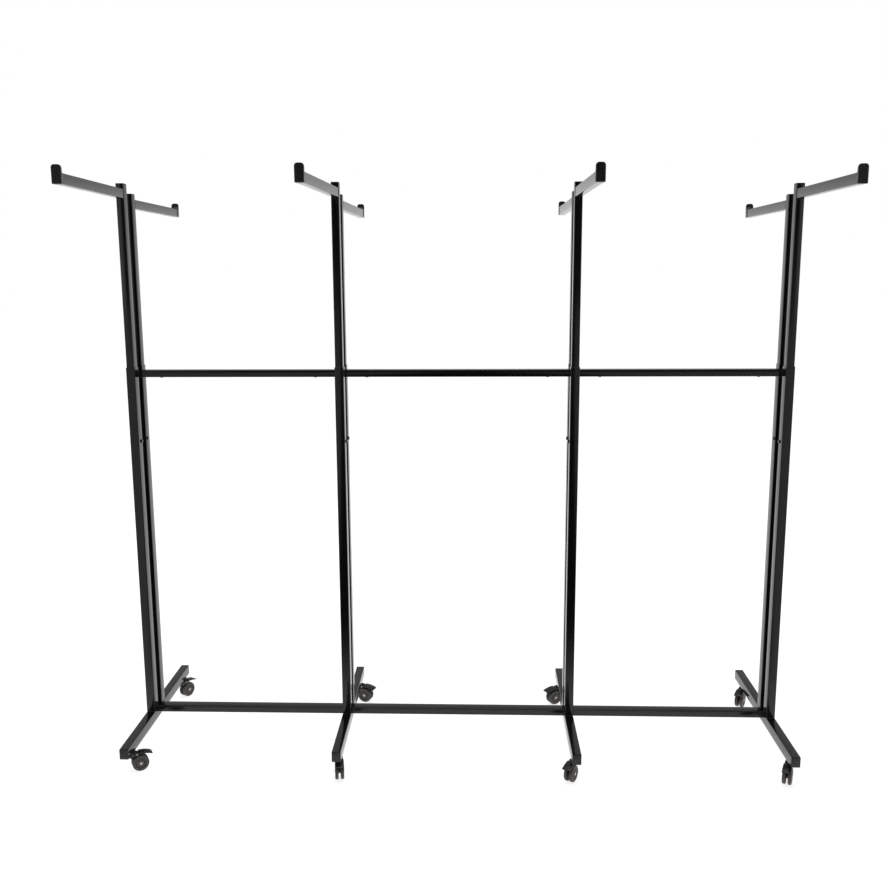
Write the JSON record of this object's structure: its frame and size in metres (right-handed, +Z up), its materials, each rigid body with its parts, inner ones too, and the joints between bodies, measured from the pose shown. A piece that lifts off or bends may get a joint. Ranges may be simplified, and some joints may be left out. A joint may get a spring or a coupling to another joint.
{
  "type": "rolling clothes rack",
  "caption": "Free-standing rack on braked swivel casters: sliding posts carry long arms to the front and the rear, with rails joining the frames.",
  "frame": {"origin": "on the floor under the middle of the rack, half-way between the middle frames and between the front and rear posts", "axes": "+X along the row of frames to the right as seen from the front, -Y to the front, +Z up"},
  "size_m": [1.8684, 1.0148, 1.613],
  "materials": {
    "black_steel": "glossy black powder coat",
    "zinc_hardware": "bright zinc plate",
    "black_plastic": "satin moulded",
    "caster_plastic": "satin moulded",
    "wheel": "satin, brownish grey"
  },
  "bodies": {
    "frame": {"foot_beam_1": "black_steel", "foot_beam_2": "black_steel", "foot_beam_3": "black_steel", "foot_beam_4": "black_steel", "lower_posts_1": "black_steel", "lower_posts_2": "black_steel", "lower_posts_3": "black_steel", "lower_posts_4": "black_steel", "mid_rail_left": "black_steel", "mid_rail_center": "black_steel", "mid_rail_right": "black_steel", "bottom_rail_left": "black_steel", "bottom_rail_center": "black_steel", "bottom_rail_right": "black_steel", "mid_rail_connectors": "black_steel", "bottom_rail_stubs": "black_steel", "rail_screws": "zinc_hardware", "foot_end_plugs": "black_plastic", "caster_stems": "zinc_hardware", "post_lock_bolts": "zinc_hardware"},
    "front_arm_1": {"front_arm_post_1": "black_steel", "front_arm_caps_1": "black_plastic"},
    "front_caster_1": {"front_caster_body_1": "caster_plastic"},
    "front_wheel_pair_1": {"front_wheels_1": "wheel"},
    "front_brake_pedal_1": {"front_brake_1": "caster_plastic"},
    "front_arm_2": {"front_arm_post_2": "black_steel", "front_arm_caps_2": "black_plastic"},
    "front_caster_2": {"front_caster_body_2": "caster_plastic"},
    "front_wheel_pair_2": {"front_wheels_2": "wheel"},
    "front_brake_pedal_2": {"front_brake_2": "caster_plastic"},
    "front_arm_3": {"front_arm_post_3": "black_steel", "front_arm_caps_3": "black_plastic"},
    "front_caster_3": {"front_caster_body_3": "caster_plastic"},
    "front_wheel_pair_3": {"front_wheels_3": "wheel"},
    "front_brake_pedal_3": {"front_brake_3": "caster_plastic"},
    "front_arm_4": {"front_arm_post_4": "black_steel", "front_arm_caps_4": "black_plastic"},
    "front_caster_4": {"front_caster_body_4": "caster_plastic"},
    "front_wheel_pair_4": {"front_wheels_4": "wheel"},
    "front_brake_pedal_4": {"front_brake_4": "caster_plastic"},
    "rear_arm_1": {"rear_arm_post_1": "black_steel", "rear_arm_caps_1": "black_plastic"},
    "rear_caster_1": {"rear_caster_body_1": "caster_plastic"},
    "rear_wheel_pair_1": {"rear_wheels_1": "wheel"},
    "rear_brake_pedal_1": {"rear_brake_1": "caster_plastic"},
    "rear_arm_2": {"rear_arm_post_2": "black_steel", "rear_arm_caps_2": "black_plastic"},
    "rear_caster_2": {"rear_caster_body_2": "caster_plastic"},
    "rear_wheel_pair_2": {"rear_wheels_2": "wheel"},
    "rear_brake_pedal_2": {"rear_brake_2": "caster_plastic"},
    "rear_arm_3": {"rear_arm_post_3": "black_steel", "rear_arm_caps_3": "black_plastic"},
    "rear_caster_3": {"rear_caster_body_3": "caster_plastic"},
    "rear_wheel_pair_3": {"rear_wheels_3": "wheel"},
    "rear_brake_pedal_3": {"rear_brake_3": "caster_plastic"},
    "rear_arm_4": {"rear_arm_post_4": "black_steel", "rear_arm_caps_4": "black_plastic"},
    "rear_caster_4": {"rear_caster_body_4": "caster_plastic"},
    "rear_wheel_pair_4": {"rear_wheels_4": "wheel"},
    "rear_brake_pedal_4": {"rear_brake_4": "caster_plastic"}
  },
  "joints": [
    {"name": "front_arm_slide_1", "type": "slide", "parent": "frame", "child": "front_arm_1", "axis": [0, 0, 1], "range_m": [-0.38, 0.25]},
    {"name": "front_caster_swivel_1", "type": "hinge", "parent": "frame", "child": "front_caster_1", "pos_m": [-0.907, -0.226, 0.052], "axis": [0, 0, 1], "continuous": true},
    {"name": "front_wheel_spin_1", "type": "hinge", "parent": "front_caster_1", "child": "front_wheel_pair_1", "pos_m": [-0.88621, -0.214, 0.023], "axis": [-0.5, 0.866, 0], "continuous": true},
    {"name": "front_brake_press_1", "type": "hinge", "parent": "front_caster_1", "child": "front_brake_pedal_1", "pos_m": [-0.89401, -0.2185, 0.0505], "axis": [-0.5, 0.866, 0], "range_deg": [0, 7]},
    {"name": "front_arm_slide_2", "type": "slide", "parent": "frame", "child": "front_arm_2", "axis": [0, 0, 1], "range_m": [-0.38, 0.25]},
    {"name": "front_caster_swivel_2", "type": "hinge", "parent": "frame", "child": "front_caster_2", "pos_m": [-0.325, -0.226, 0.052], "axis": [0, 0, 1], "continuous": true},
    {"name": "front_wheel_spin_2", "type": "hinge", "parent": "front_caster_2", "child": "front_wheel_pair_2", "pos_m": [-0.32083, -0.24963, 0.023], "axis": [0.9848, 0.1736, 0], "continuous": true},
    {"name": "front_brake_press_2", "type": "hinge", "parent": "front_caster_2", "child": "front_brake_pedal_2", "pos_m": [-0.32239, -0.24077, 0.0505], "axis": [0.9848, 0.1736, 0], "range_deg": [0, 7]},
    {"name": "front_arm_slide_3", "type": "slide", "parent": "frame", "child": "front_arm_3", "axis": [0, 0, 1], "range_m": [-0.38, 0.25]},
    {"name": "front_caster_swivel_3", "type": "hinge", "parent": "frame", "child": "front_caster_3", "pos_m": [0.325, -0.226, 0.052], "axis": [0, 0, 1], "continuous": true},
    {"name": "front_wheel_spin_3", "type": "hinge", "parent": "front_caster_3", "child": "front_wheel_pair_3", "pos_m": [0.313, -0.24679, 0.023], "axis": [0.866, -0.5, 0], "continuous": true},
    {"name": "front_brake_press_3", "type": "hinge", "parent": "front_caster_3", "child": "front_brake_pedal_3", "pos_m": [0.3175, -0.23899, 0.0505], "axis": [0.866, -0.5, 0], "range_deg": [0, 7]},
    {"name": "front_arm_slide_4", "type": "slide", "parent": "frame", "child": "front_arm_4", "axis": [0, 0, 1], "range_m": [-0.38, 0.25]},
    {"name": "front_caster_swivel_4", "type": "hinge", "parent": "frame", "child": "front_caster_4", "pos_m": [0.907, -0.226, 0.052], "axis": [0, 0, 1], "continuous": true},
    {"name": "front_wheel_spin_4", "type": "hinge", "parent": "front_caster_4", "child": "front_wheel_pair_4", "pos_m": [0.89686, -0.24775, 0.023], "axis": [0.9063, -0.4226, 0], "continuous": true},
    {"name": "front_brake_press_4", "type": "hinge", "parent": "front_caster_4", "child": "front_brake_pedal_4", "pos_m": [0.90066, -0.2396, 0.0505], "axis": [0.9063, -0.4226, 0], "range_deg": [0, 7]},
    {"name": "rear_arm_slide_1", "type": "slide", "parent": "frame", "child": "rear_arm_1", "axis": [0, 0, 1], "range_m": [-0.38, 0.25]},
    {"name": "rear_caster_swivel_1", "type": "hinge", "parent": "frame", "child": "rear_caster_1", "pos_m": [-0.907, 0.248, 0.052], "axis": [0, 0, 1], "continuous": true},
    {"name": "rear_wheel_spin_1", "type": "hinge", "parent": "rear_caster_1", "child": "rear_wheel_pair_1", "pos_m": [-0.895, 0.26878, 0.023], "axis": [-0.866, 0.5, 0], "continuous": true},
    {"name": "rear_brake_press_1", "type": "hinge", "parent": "rear_caster_1", "child": "rear_brake_pedal_1", "pos_m": [-0.8995, 0.26099, 0.0505], "axis": [-0.866, 0.5, 0], "range_deg": [0, 7]},
    {"name": "rear_arm_slide_2", "type": "slide", "parent": "frame", "child": "rear_arm_2", "axis": [0, 0, 1], "range_m": [-0.38, 0.25]},
    {"name": "rear_caster_swivel_2", "type": "hinge", "parent": "frame", "child": "rear_caster_2", "pos_m": [-0.325, 0.248, 0.052], "axis": [0, 0, 1], "continuous": true},
    {"name": "rear_wheel_spin_2", "type": "hinge", "parent": "rear_caster_2", "child": "rear_wheel_pair_2", "pos_m": [-0.30245, 0.23979, 0.023], "axis": [0.342, 0.9397, 0], "continuous": true},
    {"name": "rear_brake_press_2", "type": "hinge", "parent": "rear_caster_2", "child": "rear_brake_pedal_2", "pos_m": [-0.3109, 0.24287, 0.0505], "axis": [0.342, 0.9397, 0], "range_deg": [0, 7]},
    {"name": "rear_arm_slide_3", "type": "slide", "parent": "frame", "child": "rear_arm_3", "axis": [0, 0, 1], "range_m": [-0.38, 0.25]},
    {"name": "rear_caster_swivel_3", "type": "hinge", "parent": "frame", "child": "rear_caster_3", "pos_m": [0.325, 0.248, 0.052], "axis": [0, 0, 1], "continuous": true},
    {"name": "rear_wheel_spin_3", "type": "hinge", "parent": "rear_caster_3", "child": "rear_wheel_pair_3", "pos_m": [0.30422, 0.236, 0.023], "axis": [0.5, -0.866, 0], "continuous": true},
    {"name": "rear_brake_press_3", "type": "hinge", "parent": "rear_caster_3", "child": "rear_brake_pedal_3", "pos_m": [0.31201, 0.2405, 0.0505], "axis": [0.5, -0.866, 0], "range_deg": [0, 7]},
    {"name": "rear_arm_slide_4", "type": "slide", "parent": "frame", "child": "rear_arm_4", "axis": [0, 0, 1], "range_m": [-0.38, 0.25]},
    {"name": "rear_caster_swivel_4", "type": "hinge", "parent": "frame", "child": "rear_caster_4", "pos_m": [0.907, 0.248, 0.052], "axis": [0, 0, 1], "continuous": true},
    {"name": "rear_wheel_spin_4", "type": "hinge", "parent": "rear_caster_4", "child": "rear_wheel_pair_4", "pos_m": [0.895, 0.22722, 0.023], "axis": [0.866, -0.5, 0], "continuous": true},
    {"name": "rear_brake_press_4", "type": "hinge", "parent": "rear_caster_4", "child": "rear_brake_pedal_4", "pos_m": [0.8995, 0.23501, 0.0505], "axis": [0.866, -0.5, 0], "range_deg": [0, 7]}
  ]
}
